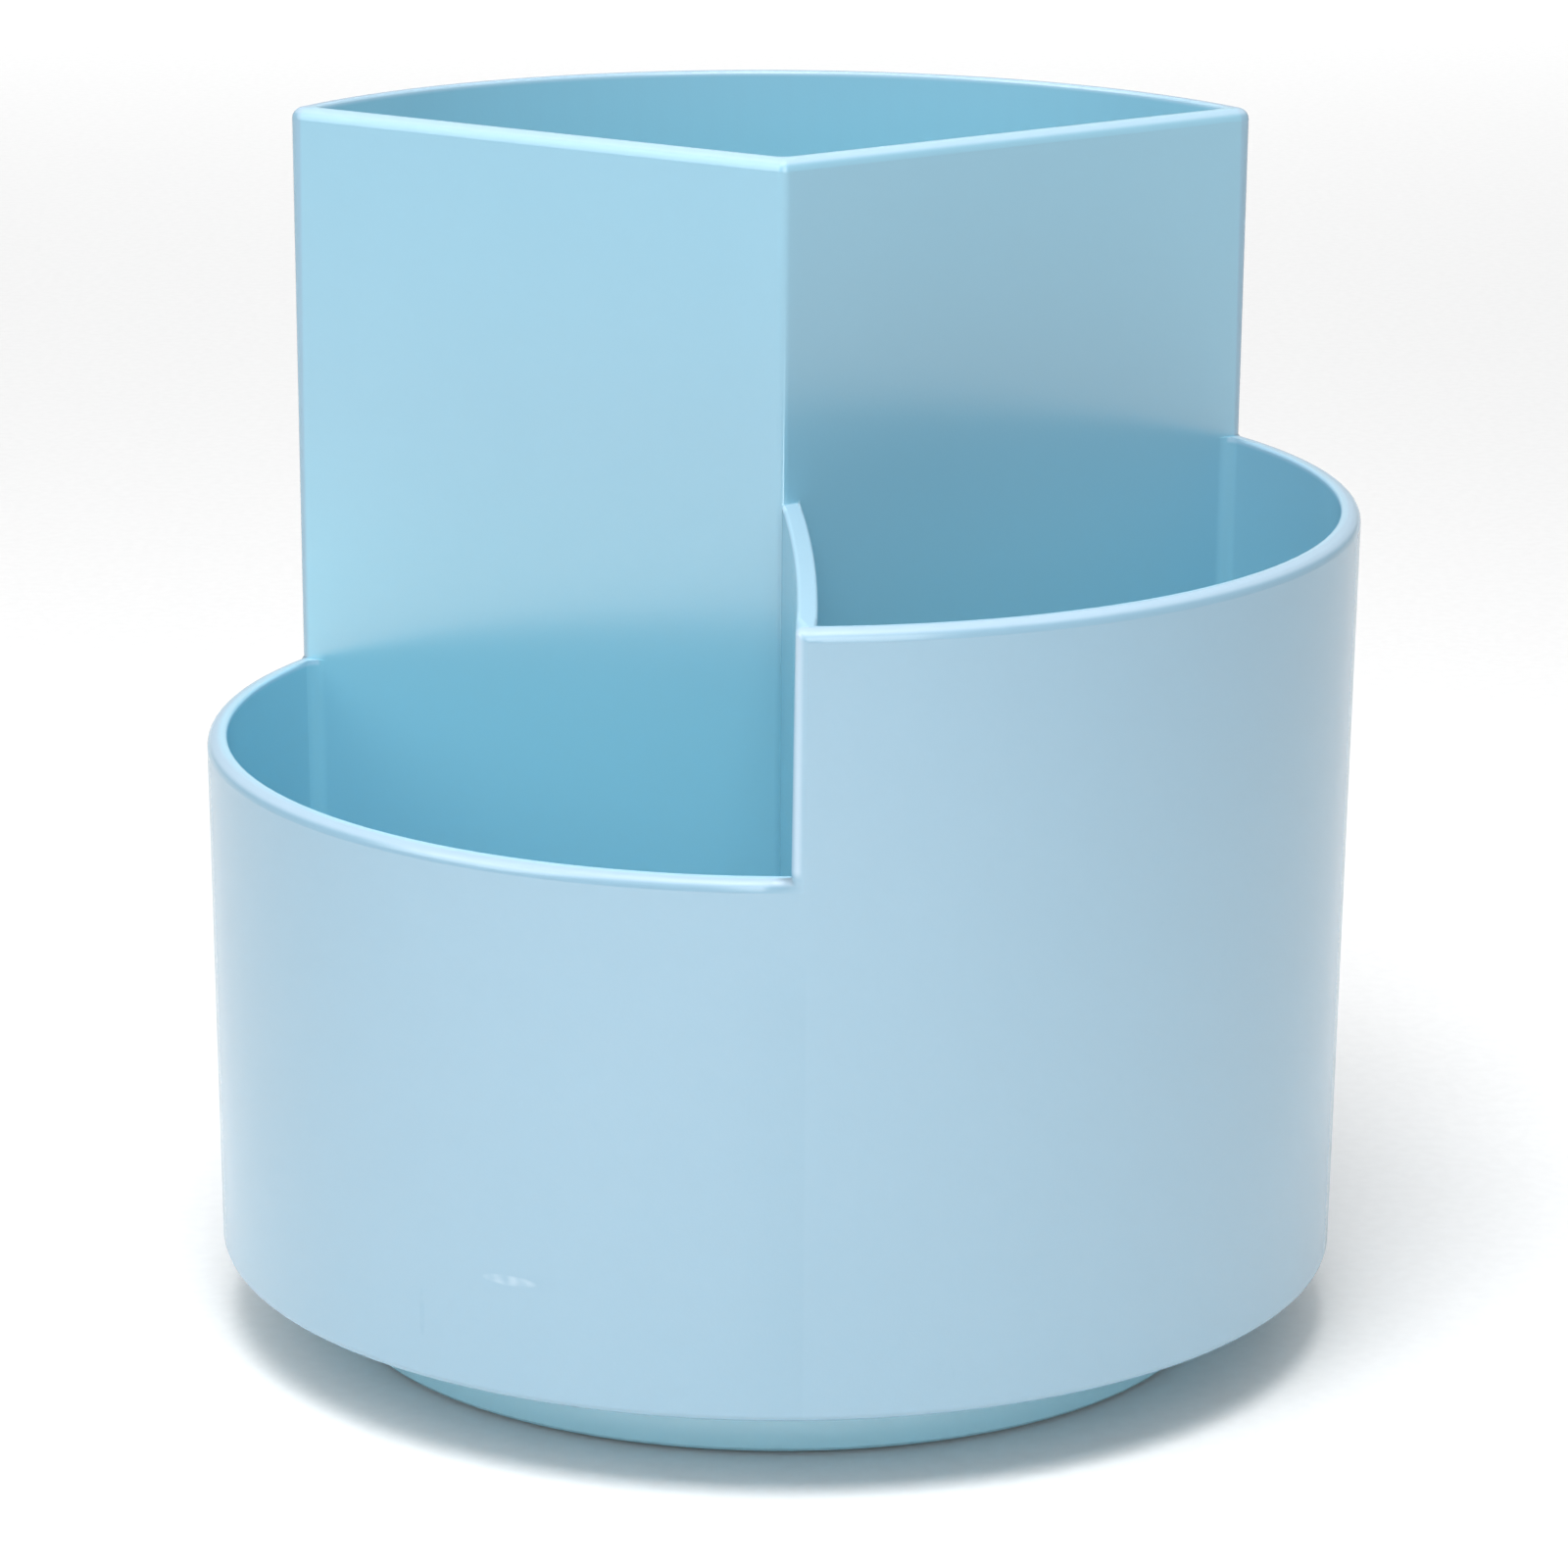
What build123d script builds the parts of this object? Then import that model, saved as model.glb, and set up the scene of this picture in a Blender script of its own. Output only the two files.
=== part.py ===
from build123d import *
from math import cos, hypot, radians, sin, tan
import os

# Rotating pen holder. A moulded cup with three compartments of different height turns on a round base.
# Millimetres, the desk is z = 0 and the cup spins about +Z. The divider between the two front compartments
# points to -Y, the low compartment lies at -X, the medium one at +X and the tall one at +Y.

# Base, from the desk up
pad_radius = 5.0
pad_thickness = 1.5
pocket_depth = 1.0
pocket_clearance = 0.1
pad_pitch_radius = 36.0
boss_radius = 6.5
pad_count = 4
ring_radius = 45.2
ring_wall = 2.0
ring_draft = 1.5
base_height = 9.5
base_plate = 2.4
base_edge_radius = 1.5
base_foot_edge = 0.4
pad_edge = 0.3
rib_thickness = 1.6
base_rib_depth = 3.6
base_rib_count = 8
rib_flange_gap = 1.0
race_rib_depth = 2.6
hub_radius = 11.0
hub_depth = 2.4
hub_bore_radius = 7.5

# Pivot
spigot_radius = 6.0
running_clearance = 0.05
bush_seat_clearance = 0.03
bush_flange_radius = 9.5
bush_flange_thickness = 1.2
axial_play = 0.15
spigot_root_radius = 1.2
spigot_lead = 0.4
washer_radius = 8.0
washer_bore_radius = 2.15
washer_thickness = 1.0
washer_edge = 0.15
pilot_radius = 1.95
pilot_depth = 9.0
screw_radius = 1.9
screw_grip = 8.5
screw_point = 1.6
screw_head_radius = 4.0
screw_head_height = 2.2
screw_head_round = 1.1
recess_length = 4.4
recess_width = 1.1
recess_depth = 1.3
recess_taper = 12.0

# Ball race
race_radius = 30.0
ball_radius = 2.0
ball_count = 12
bearing_gap = 2.5
race_clearance = 0.08
race_conformity = 0.4
cage_thickness = 1.5
cage_web = 2.4
cage_lobe_radius = 3.4
cage_pocket_clearance = 0.12
cage_edge = 0.25

# Cup, heights above its lower edge
skirt_depth = 4.3
floor_thickness = 2.4
low_height = 53.7
medium_height = 77.6
tall_height = 112.2
cup_radius = 57.25
cup_draft = 0.78
wall = 2.0
cup_foot_radius = 0.8

# The two walls of the tall compartment form a V that opens to +Y
v_angle = 34.5
v_apex = -3.4
v_wall = 2.0
v_draft = 0.4

# The divider bows to the medium compartment
divider_wall = 1.95
divider_draft = 0.55
divider_root = 0.85
divider_front = 0.2
divider_bow = 0.7
divider_sweep = 12.0

corner_radius = 1.5
floor_radius = 1.2
rim_radius = 0.6
step_cut_depth = 5.25

# Ribs under the cup's floor
skirt_ring_radius = 48.3
skirt_ring_depth = 3.5
skirt_rib_depth = 2.5
skirt_rib_count = 18

# Room that cutting and trimming blocks need beyond the cup
reach = 75.0
over = 2.0

# Heights that follow from the sizes above
base_bottom = pad_thickness - pocket_depth
base_top = base_bottom + base_height
plate_underside = base_top - base_plate
hub_bottom = plate_underside - hub_depth
flange_bottom = hub_bottom - bush_flange_thickness
spigot_end = flange_bottom - axial_play
washer_bottom = spigot_end - washer_thickness
ball_height = base_top + bearing_gap / 2
floor_underside = base_top + bearing_gap
floor_top = floor_underside + floor_thickness
cup_bottom = floor_underside - skirt_depth
low_rim = cup_bottom + low_height
medium_rim = cup_bottom + medium_height
tall_rim = cup_bottom + tall_height
groove_radius = ball_radius + race_conformity
groove_shift = race_conformity - race_clearance


def outer_radius(height):
    """Radius of the cup's drafted outer wall at a height."""
    return cup_radius + (height - cup_bottom) * tan(radians(cup_draft))


def turned(points):
    """Solid turned about Z from a closed outline of (radius, height) points."""
    with BuildPart() as solid:
        with BuildSketch(Plane.XZ):
            with BuildLine():
                Polyline(*points, close=True)
            make_face()
        revolve(axis=Axis.Z)
    return solid.part


def cup_cone(inset, low, high):
    """The cup's outer wall filled solid, moved in by an inset, between two heights."""
    return turned([(0, low), (outer_radius(low) - inset, low), (outer_radius(high) - inset, high), (0, high)])


def slab(low, high, radius=reach, hole=0.0):
    """Round plate between two heights, with an optional round hole."""
    with BuildPart() as solid:
        with BuildSketch(Plane.XY.offset(low)):
            Circle(radius)
            if hole:
                Circle(hole, mode=Mode.SUBTRACT)
        extrude(amount=high - low)
    return solid.part


def v_plane(across, along):
    """Plane of one face of a V wall, its normal to the front.
    across is 1 for the right wall and -1 for the left. along is -1 for the face on the front side and 1 for
    the face inside the tall compartment."""
    turn = radians(v_angle)
    lean = radians(v_draft)
    apex = v_apex + along * v_wall / 2 / cos(turn)
    normal = Vector(across * sin(turn) * cos(lean), -cos(turn) * cos(lean), -along * sin(lean))
    return Plane(origin=(0, apex, tall_rim), z_dir=normal)


def tall_wedge(along):
    """Everything behind the V, bounded by its front faces (along -1) or its inner faces (along 1)."""
    with BuildPart() as solid:
        add(slab(cup_bottom, tall_rim + 2 * over))
        for across in (-1, 1):
            split(bisect_by=v_plane(across, along), keep=Keep.BOTTOM)
    return solid.part


# The divider's faces are cones about an upright axis far to the left, so that they bow and taper in one form.
divider_back_end = Vector(divider_root, v_apex)
divider_front_end = Vector(divider_front, -outer_radius(medium_rim))
divider_chord = divider_front_end - divider_back_end
bow_radius = (divider_chord.length**2 / 4 + divider_bow**2) / (2 * divider_bow)
bow_normal = Vector(-divider_chord.Y, divider_chord.X).normalized()
bow_centre = (divider_back_end + divider_front_end) * 0.5 + bow_normal * (divider_bow - bow_radius)
sweep_start = radians(-divider_sweep)


def divider_face(height, side):
    """Distance of a divider face from the bow's axis. side is 1 for the face to the medium compartment."""
    return bow_radius + side * (divider_wall / 2 + (medium_rim - height) * tan(radians(divider_draft)))


def beside_divider(side):
    """Everything on one side of the divider, up to just above the medium rim."""
    low = cup_bottom
    high = medium_rim + over
    far = bow_radius + side * 2 * reach
    start = Plane(
        origin=(bow_centre.X, bow_centre.Y, 0),
        x_dir=(cos(sweep_start), sin(sweep_start), 0),
        z_dir=(sin(sweep_start), -cos(sweep_start), 0),
    )
    with BuildPart() as solid:
        with BuildSketch(start):
            with BuildLine():
                Polyline(
                    (divider_face(low, side), low),
                    (far, low),
                    (far, high),
                    (divider_face(high, side), high),
                    close=True,
                )
            make_face()
        revolve(axis=Axis((bow_centre.X, bow_centre.Y, 0), (0, 0, 1)), revolution_arc=2 * divider_sweep)
    return solid.part


def upright(edge):
    """True for an edge that climbs more than it runs level and stays inside the cup."""
    low, high = edge @ 0, edge @ 1
    inside = max(hypot(low.X, low.Y), hypot(high.X, high.Y)) < reach - wall
    return inside and abs(low.Z - high.Z) > 2 * wall


def level_at(height):
    """Selector of the edges that lie flat at a height."""
    return lambda edge: all(abs((edge @ place).Z - height) < 0.01 for place in (0, 0.5, 1))


wedge = tall_wedge(-1)
tall_room = tall_wedge(1)
left_room = beside_divider(-1)
right_room = beside_divider(1)

# Cores of the three compartments. The upright corners of the tall one are rounded, and all floors meet the
# walls in a curve.
with BuildPart() as tall_core:
    add(cup_cone(wall, floor_top, tall_rim + over))
    add(tall_room, mode=Mode.INTERSECT)
    fillet(tall_core.edges().filter_by(upright), corner_radius)
    fillet(tall_core.edges().group_by(Axis.Z)[0], floor_radius)

with BuildPart() as medium_core:
    add(cup_cone(wall, floor_top, medium_rim + over))
    add(right_room, mode=Mode.INTERSECT)
    add(wedge, mode=Mode.SUBTRACT)
    fillet(medium_core.edges().group_by(Axis.Z)[0], floor_radius)

with BuildPart() as low_core:
    add(cup_cone(wall, floor_top, medium_rim + over))
    add(left_room, mode=Mode.INTERSECT)
    add(wedge, mode=Mode.SUBTRACT)
    fillet(low_core.edges().group_by(Axis.Z)[0], floor_radius)

# Part of the outer wall that the low rim leaves out
with BuildPart() as step_core:
    add(slab(low_rim, medium_rim + over, hole=cup_radius - step_cut_depth))
    add(left_room, mode=Mode.INTERSECT)
    add(wedge, mode=Mode.SUBTRACT)

# Everything above the medium rim in front of the V
with BuildPart() as front_space:
    add(slab(medium_rim, tall_rim + over))
    add(wedge, mode=Mode.SUBTRACT)

with BuildPart() as pen_cup:
    add(cup_cone(0, cup_bottom, tall_rim))
    for space in (front_space, low_core, step_core, medium_core, tall_core):
        add(space.part, mode=Mode.SUBTRACT)
    # Rounded rims, the tall one first
    fillet(pen_cup.edges().filter_by(level_at(tall_rim)), rim_radius)
    # The short edge where the low rim meets the end of the step stays sharp.
    curved = pen_cup.edges().filter_by(GeomType.LINE, reverse=True)
    medium_edges = curved.filter_by(level_at(medium_rim))
    low_edges = curved.filter_by(level_at(low_rim)).filter_by(lambda edge: edge.length > 2 * wall)
    step_edge = pen_cup.edges().filter_by(upright).group_by(Axis.Y)[0]
    fillet(medium_edges + low_edges + step_edge, rim_radius)
    # The foot edge, then the hollow under the floor with its ribs
    fillet(pen_cup.edges().filter_by(level_at(cup_bottom)), cup_foot_radius)
    skirt_inner = outer_radius(cup_bottom) - wall
    add(slab(cup_bottom, floor_underside, radius=skirt_inner), mode=Mode.SUBTRACT)
    ring_bottom = floor_underside - skirt_ring_depth
    add(
        slab(
            ring_bottom,
            floor_underside,
            skirt_ring_radius + rib_thickness / 2,
            skirt_ring_radius - rib_thickness / 2,
        )
    )
    rib_length = skirt_inner - skirt_ring_radius
    with BuildSketch(Plane.XY.offset(floor_underside - skirt_rib_depth)):
        with PolarLocations(skirt_ring_radius + rib_length / 2, skirt_rib_count):
            Rectangle(rib_length + rib_thickness / 2, rib_thickness)
    extrude(amount=skirt_rib_depth)
    # Upper ball race
    with BuildSketch(Plane.XZ):
        with Locations((race_radius, ball_height - groove_shift)):
            Circle(groove_radius)
    revolve(axis=Axis.Z, mode=Mode.SUBTRACT)
    # Spigot with a filleted root and a lead, then the screw's pilot hole
    with BuildSketch(Plane.XZ):
        with BuildLine():
            root_low = (spigot_radius, floor_underside - spigot_root_radius)
            root_high = (spigot_radius + spigot_root_radius, floor_underside)
            Polyline(
                (0, floor_underside + over / 2),
                (0, spigot_end),
                (spigot_radius - spigot_lead, spigot_end),
                (spigot_radius, spigot_end + spigot_lead),
                root_low,
            )
            RadiusArc(root_low, root_high, spigot_root_radius)
            Polyline(root_high, (root_high[0], floor_underside + over / 2), (0, floor_underside + over / 2))
        make_face()
    revolve(axis=Axis.Z)
    with BuildSketch(Plane.XY.offset(spigot_end)):
        Circle(pilot_radius)
    extrude(amount=pilot_depth, mode=Mode.SUBTRACT)
pen_cup.part.label = "pen_cup"

# Base: an inverted dish with a hub, ribs and bosses for the pads
ring_foot_inner = ring_radius - ring_wall
ring_top_radius = ring_radius - base_height * tan(radians(ring_draft))
ring_inner_top = ring_foot_inner - (plate_underside - base_bottom) * tan(radians(ring_draft))
with BuildPart() as base_dish:
    add(
        turned(
            [
                (hub_bore_radius, hub_bottom),
                (hub_radius, hub_bottom),
                (hub_radius, plate_underside),
                (ring_inner_top, plate_underside),
                (ring_foot_inner, base_bottom),
                (ring_radius, base_bottom),
                (ring_top_radius, base_top),
                (hub_bore_radius, base_top),
            ]
        )
    )
    rims = base_dish.edges().filter_by(level_at(base_top))
    fillet(rims.sort_by(SortBy.RADIUS)[-1], base_edge_radius)
    feet = base_dish.edges().filter_by(level_at(base_bottom))
    chamfer(feet, base_foot_edge)
    # Radial ribs, the ring rib under the race and the pad bosses
    rib_start = bush_flange_radius + rib_flange_gap
    rib_end = ring_foot_inner + ring_wall / 4
    with BuildSketch(Plane.XY.offset(plate_underside - base_rib_depth)):
        with PolarLocations((rib_start + rib_end) / 2, base_rib_count):
            Rectangle(rib_end - rib_start, rib_thickness)
    extrude(amount=base_rib_depth)
    add(
        slab(
            plate_underside - race_rib_depth,
            plate_underside,
            race_radius + rib_thickness / 2,
            race_radius - rib_thickness / 2,
        )
    )
    pad_places = PolarLocations(pad_pitch_radius, pad_count, start_angle=180 / pad_count)
    with BuildSketch(Plane.XY.offset(base_bottom)):
        with pad_places:
            Circle(boss_radius)
    extrude(amount=plate_underside - base_bottom)
    with BuildSketch(Plane.XY.offset(base_bottom)):
        with pad_places:
            Circle(pad_radius + pocket_clearance)
    extrude(amount=pocket_depth, mode=Mode.SUBTRACT)
    # Lower ball race
    with BuildSketch(Plane.XZ):
        with Locations((race_radius, ball_height + groove_shift)):
            Circle(groove_radius)
    revolve(axis=Axis.Z, mode=Mode.SUBTRACT)
base_dish.part.label = "base_dish"

# Flanged bush, pushed up into the hub
bush_bore = spigot_radius + running_clearance
bush_radius = hub_bore_radius - bush_seat_clearance
with BuildPart() as pivot_bush:
    add(
        turned(
            [
                (bush_bore, flange_bottom),
                (bush_flange_radius, flange_bottom),
                (bush_flange_radius, hub_bottom),
                (bush_radius, hub_bottom),
                (bush_radius, base_top),
                (bush_bore, base_top),
            ]
        )
    )
    chamfer(pivot_bush.edges().group_by(Axis.Z)[-1].sort_by(SortBy.RADIUS)[-1], spigot_lead)
pivot_bush.part.label = "pivot_bush"

# Washer and screw that hold the spigot down
with BuildPart() as pivot_washer:
    with BuildSketch(Plane.XY.offset(washer_bottom)):
        Circle(washer_radius)
        Circle(washer_bore_radius, mode=Mode.SUBTRACT)
    extrude(amount=washer_thickness)
    chamfer(pivot_washer.edges().filter_by(GeomType.CIRCLE).sort_by(SortBy.RADIUS)[-2:], washer_edge)
pivot_washer.part.label = "pivot_washer"

screw_tip = spigot_end + screw_grip
head_bottom = washer_bottom - screw_head_height
with BuildPart() as pivot_screw:
    add(
        turned(
            [
                (0, head_bottom),
                (screw_head_radius, head_bottom),
                (screw_head_radius, washer_bottom),
                (screw_radius, washer_bottom),
                (screw_radius, screw_tip - screw_point),
                (screw_radius / 4, screw_tip),
                (0, screw_tip),
            ]
        )
    )
    fillet(pivot_screw.edges().filter_by(level_at(head_bottom)), screw_head_round)
    with BuildSketch(Plane.XY.offset(head_bottom)):
        Rectangle(recess_length, recess_width)
        Rectangle(recess_width, recess_length)
    extrude(amount=recess_depth, taper=recess_taper, mode=Mode.SUBTRACT)
pivot_screw.part.label = "pivot_screw"

# Cage: a thin ring with a lobe and a pocket for each ball
with BuildPart() as ball_cage:
    ball_places = PolarLocations(race_radius, ball_count)
    with BuildSketch(Plane.XY.offset(ball_height - cage_thickness / 2)):
        Circle(race_radius + cage_web / 2)
        Circle(race_radius - cage_web / 2, mode=Mode.SUBTRACT)
        with ball_places:
            Circle(cage_lobe_radius)
        with ball_places:
            Circle(ball_radius + cage_pocket_clearance, mode=Mode.SUBTRACT)
    extrude(amount=cage_thickness)
    chamfer(ball_cage.faces().sort_by(Axis.Z)[-1].outer_wire().edges(), cage_edge)
ball_cage.part.label = "ball_cage"

pieces = [pen_cup.part, base_dish.part, pivot_bush.part, pivot_washer.part, pivot_screw.part, ball_cage.part]

# Balls and pads, one separate piece at each place
for number, place in enumerate(PolarLocations(race_radius, ball_count), start=1):
    with BuildPart(Plane.XY.offset(ball_height)) as bearing_ball:
        with Locations(place.position):
            Sphere(ball_radius)
    bearing_ball.part.label = f"bearing_ball_{number:02d}"
    pieces.append(bearing_ball.part)

for number, place in enumerate(PolarLocations(pad_pitch_radius, pad_count, 180 / pad_count), start=1):
    with BuildPart() as foot_pad:
        with BuildSketch():
            with Locations(place.position):
                Circle(pad_radius)
        extrude(amount=pad_thickness)
        chamfer(foot_pad.edges().group_by(Axis.Z)[0], pad_edge)
    foot_pad.part.label = f"foot_pad_{number}"
    pieces.append(foot_pad.part)

os.makedirs("parts", exist_ok=True)
for piece in pieces:
    export_step(piece, f"parts/{piece.label}.step")
    print(piece.label, round(piece.volume, 2), piece.is_valid)
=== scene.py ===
# %% [markdown]
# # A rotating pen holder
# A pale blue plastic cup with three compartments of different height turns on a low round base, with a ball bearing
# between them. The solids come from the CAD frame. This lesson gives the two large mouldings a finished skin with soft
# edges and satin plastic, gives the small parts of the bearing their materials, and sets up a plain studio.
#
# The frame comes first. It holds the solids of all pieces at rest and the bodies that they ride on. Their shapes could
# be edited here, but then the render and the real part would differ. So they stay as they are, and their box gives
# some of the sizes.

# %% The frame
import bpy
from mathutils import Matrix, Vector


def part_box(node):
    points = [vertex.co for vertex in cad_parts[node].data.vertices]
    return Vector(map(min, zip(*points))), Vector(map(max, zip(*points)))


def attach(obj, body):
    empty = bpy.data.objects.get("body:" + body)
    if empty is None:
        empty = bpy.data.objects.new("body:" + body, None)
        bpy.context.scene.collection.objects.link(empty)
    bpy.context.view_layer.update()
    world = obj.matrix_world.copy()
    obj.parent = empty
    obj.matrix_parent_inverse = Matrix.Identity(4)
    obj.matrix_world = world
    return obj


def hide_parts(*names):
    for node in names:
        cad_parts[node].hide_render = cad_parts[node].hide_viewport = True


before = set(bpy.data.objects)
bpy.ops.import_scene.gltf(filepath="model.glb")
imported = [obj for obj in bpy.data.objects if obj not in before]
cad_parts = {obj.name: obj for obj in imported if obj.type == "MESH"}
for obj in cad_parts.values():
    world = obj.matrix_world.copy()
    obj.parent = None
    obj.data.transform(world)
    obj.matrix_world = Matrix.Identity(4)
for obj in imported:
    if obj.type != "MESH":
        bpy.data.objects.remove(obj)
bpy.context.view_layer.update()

# %% [markdown]
# The cup stands on its base and has three rims: the tall one at the back, the medium one on the right and the low one
# on the left. All sizes could be typed in metres, Blender's unit, but a maker thinks in millimetres, so they are
# written that way and turned into metres where a vertex is made. What a node of the frame gives is read from it, so
# that skin and solid can't drift apart.

# %% Sizes of the cup
from math import atan2, cos, degrees, pi, radians, sin, tan

import bmesh
import bpy
from mathutils import Matrix, Vector
from mathutils.geometry import intersect_line_sphere_2d, intersect_sphere_sphere_2d
from mathutils.kdtree import KDTree

MM = 0.001
cup_low, cup_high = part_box("pen_cup")
tall_over_medium = 34.6
medium_over_low = 23.9
tall_rim = cup_high[2] / MM
medium_rim = tall_rim - tall_over_medium
low_rim = medium_rim - medium_over_low
floor_top = 14.9
foot = 8.2
wall = 2.0
print("rims at", round(low_rim, 2), round(medium_rim, 2), round(tall_rim, 2), "mm")

# %% [markdown]
# Every wall of a moulding leans a little, so that the cup leaves its mould: the outer wall by 0.78 degrees, the V by
# 0.4 and the divider by 0.55. Upright walls could be tapered afterwards with a Simple Deform modifier, but each kind
# of wall leans by its own angle. Here the radius and the thicknesses are functions of the height instead, and each rim
# gets its own.

# %% Walls that lean
outer_at_medium, outer_lean = 58.306, radians(0.78)
v_half_at_tall, v_lean = 1.0, radians(0.4)
divider_half_at_medium, divider_lean = 0.975, radians(0.55)


def cup_radius(height):
    """Outer radius of the cup at a height."""
    return outer_at_medium + (height - medium_rim) * tan(outer_lean)


def v_half(height):
    """Half the thickness of the V's walls at a height."""
    return v_half_at_tall + (tall_rim - height) * tan(v_lean)


def divider_half(height):
    """Half the thickness of the divider at a height."""
    return divider_half_at_medium + (medium_rim - height) * tan(divider_lean)


print("outer radius", round(cup_radius(foot), 2), "mm at the foot,", round(cup_radius(tall_rim), 2), "mm at the top")

# %% [markdown]
# The cup is easiest to read from above. A circle is its outer wall. Two walls form a V that holds the tall
# compartment at the back, and a thin divider, slightly bowed, runs from the V to the front. The rooms could be cut out
# of a cylinder with Boolean modifiers, but they leave ragged triangles that no rounding follows. Drawn as a plan,
# every wall has clean rows of faces. Its corners lie where a line or an arc meets another, so small helpers find them.

# %% Helpers for the plan
v_angle = radians(34.5)
v_apex = -3.4
along_v = Vector((cos(v_angle), sin(v_angle)))
off_v = Vector((sin(v_angle), -cos(v_angle)))
axis = Vector((0, 0))


def on_v(offset, radius):
    """Point of the right V wall, a distance in front of its middle and a radius from the axis."""
    start = Vector((0, v_apex)) + off_v * offset
    lean = start.dot(along_v)
    return start + along_v * (-lean + (lean * lean - start.length_squared + radius * radius) ** 0.5)


def mirrored(points):
    """The same points on the left of the middle."""
    return [Vector((-p.x, p.y)) for p in points]


def moved_out(point, radius):
    """The point moved straight away from the axis to a radius."""
    return point * (radius / point.length)


def turn(centre, start, end, count):
    """Points of the arc from start to end about a centre, both ends with it."""
    first, last = start - centre, end - centre
    angle = atan2(first.cross(last), first.dot(last))
    grow = last.length / first.length - 1
    places = [i / count for i in range(count + 1)]
    return [centre + (1 + grow * t) * (Matrix.Rotation(angle * t, 2) @ first) for t in places]


print("the V's right wall ends at", tuple(round(v, 1) for v in on_v(0, outer_at_medium)), "mm")

# %% [markdown]
# The tall compartment has rounded upright corners and a soft front edge, like any room in a moulding. A bevel could
# round them later, but three rounded edges of different width meet at each rim, and a bevel makes a mess of such a
# corner. So the arcs are in the outlines already. Only the right half is worked out, and its mirror image is the left.

# %% Outlines of the tall compartment
corner_round, edge_round, inside_round = 1.6, 1.2, 1.5
corner_steps, edge_steps, back_steps = 5, 4, 20


def tall_outlines(height):
    """Right half at a height: the outer corner, the front edge, the back, and the whole inside in one line."""
    out, half = cup_radius(height), v_half(height)
    inn = out - wall
    centre = on_v(half - corner_round, out - corner_round)
    corner = turn(centre, centre + off_v * corner_round, moved_out(centre, out), corner_steps)
    back = turn(axis, moved_out(centre, out), Vector((0, out)), back_steps)
    centre = Vector((0, v_apex - (half - edge_round) / cos(v_angle)))
    edge = turn(centre, centre + Vector((0, -edge_round)), centre + off_v * edge_round, edge_steps)
    centre = on_v(-half - inside_round, inn - inside_round)
    room_corner = turn(centre, moved_out(centre, inn), centre + off_v * inside_round, edge_steps)
    back_inside = turn(axis, Vector((0, inn)), room_corner[0], back_steps)
    centre = Vector((0, v_apex + (half + inside_round) / cos(v_angle)))
    tip = turn(centre, centre + off_v * inside_round, centre + Vector((0, -inside_round)), edge_steps)
    return corner, edge, back, back_inside + room_corner + tip


print("tall compartment:", [len(points) for points in tall_outlines(tall_rim)], "points")

# %% [markdown]
# The divider between the two low rooms is a blade that bows to the right and sweeps out of the front wall. Two arcs
# about a far centre on the left are its sides. A straight blade bent by a curve would do as well, but with arcs the
# places where it meets the walls are exact. The medium room's far corner, the nook, is rounded like the others.

# %% Corners of the low rooms
nook_round = 1.4
bow_centre, bow_radius = Vector((-537.5, -24.5)), 538.8


def divider_meets(side, radius):
    """Where a side of the divider, given by its own radius, meets a circle about the axis at the front."""
    both = intersect_sphere_sphere_2d(bow_centre, side, axis, radius)
    return min(both, key=lambda p: p.y)


def divider_root(height):
    """Where the right side of the divider meets the V at a height."""
    face = Vector((0, v_apex)) + off_v * v_half(height)
    far = face + along_v * cup_radius(height)
    both = intersect_line_sphere_2d(face, far, bow_centre, bow_radius + divider_half(height), False)
    return min(both, key=lambda p: p.length)


def nook_arc(height):
    """The rounded corner between the outer wall and the V at a height, from the wall to the V."""
    inn = cup_radius(height) - wall
    centre = on_v(v_half(height) + nook_round, inn - nook_round)
    return turn(centre, moved_out(centre, inn), centre - off_v * nook_round, edge_steps)


print("the divider leaves the V at", tuple(round(v, 1) for v in divider_root(medium_rim)), "mm")

# %% [markdown]
# Now the outlines are put together. The tall compartment's wall is drawn in two halves, because a face can't be a
# closed ring. The rims of the two low rooms run up to the tall wall, and each has a small face of its own there. Its
# cross edge gives the rounding of the rim a stop, without which that would slide along the wall and tear a hole.

# %% The plan at a height
arc_steps, room_steps, divider_steps = 44, 42, 16


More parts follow.
